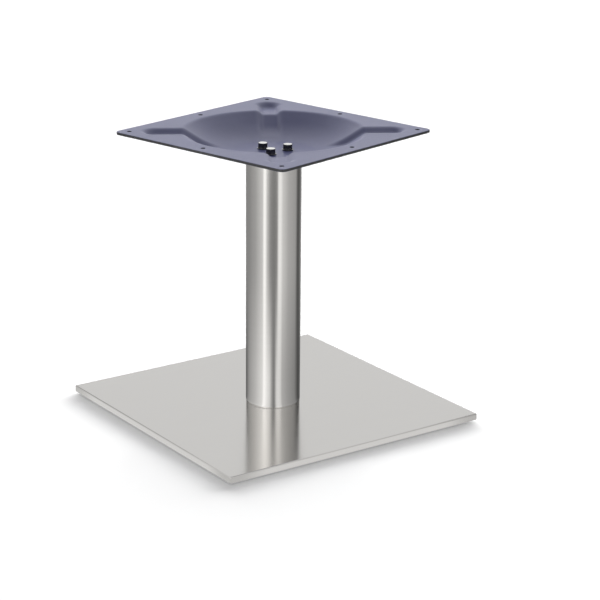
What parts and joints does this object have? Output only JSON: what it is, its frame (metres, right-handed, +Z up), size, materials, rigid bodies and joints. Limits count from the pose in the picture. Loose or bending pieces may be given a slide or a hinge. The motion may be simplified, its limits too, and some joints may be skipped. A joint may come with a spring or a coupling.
{
  "type": "low table base",
  "caption": "Low pedestal table base: square weighted foot in brushed stainless steel, round column and a pressed, dished top plate with fixing holes.",
  "frame": {"origin": "on the floor under the column's axis, at the middle of the square foot", "axes": "+Z up along the column, X and Y along the sides of the square foot"},
  "size_m": [0.43, 0.43, 0.42],
  "materials": {
    "stainless_sheet": "satin brushed",
    "stainless_tube": "satin brushed",
    "bare_steel": "mill",
    "ballast_steel": "black primer",
    "powder_coat": "satin powder coat",
    "zinc_steel": "bright zinc",
    "foot_plastic": "moulded"
  },
  "bodies": {
    "base": {"base_cover": "stainless_sheet", "ballast_plate": "ballast_steel", "base_screws": "zinc_steel", "column_tube": "stainless_tube", "column_foot_flange": "bare_steel", "column_head_flange": "bare_steel", "top_plate": "powder_coat", "top_flat_washers": "zinc_steel", "top_spring_washers": "zinc_steel", "top_bolts": "zinc_steel"},
    "foot_1": {"foot_1_pad": "foot_plastic", "foot_1_stud": "zinc_steel"},
    "foot_2": {"foot_2_pad": "foot_plastic", "foot_2_stud": "zinc_steel"},
    "foot_3": {"foot_3_pad": "foot_plastic", "foot_3_stud": "zinc_steel"},
    "foot_4": {"foot_4_pad": "foot_plastic", "foot_4_stud": "zinc_steel"}
  },
  "joints": [
    {"name": "foot_1_screw", "type": "slide", "parent": "base", "child": "foot_1", "axis": [0, 0, -1], "range_m": [0, 0.004]},
    {"name": "foot_2_screw", "type": "slide", "parent": "base", "child": "foot_2", "axis": [0, 0, -1], "range_m": [0, 0.004]},
    {"name": "foot_3_screw", "type": "slide", "parent": "base", "child": "foot_3", "axis": [0, 0, -1], "range_m": [0, 0.004]},
    {"name": "foot_4_screw", "type": "slide", "parent": "base", "child": "foot_4", "axis": [0, 0, -1], "range_m": [0, 0.004]}
  ]
}
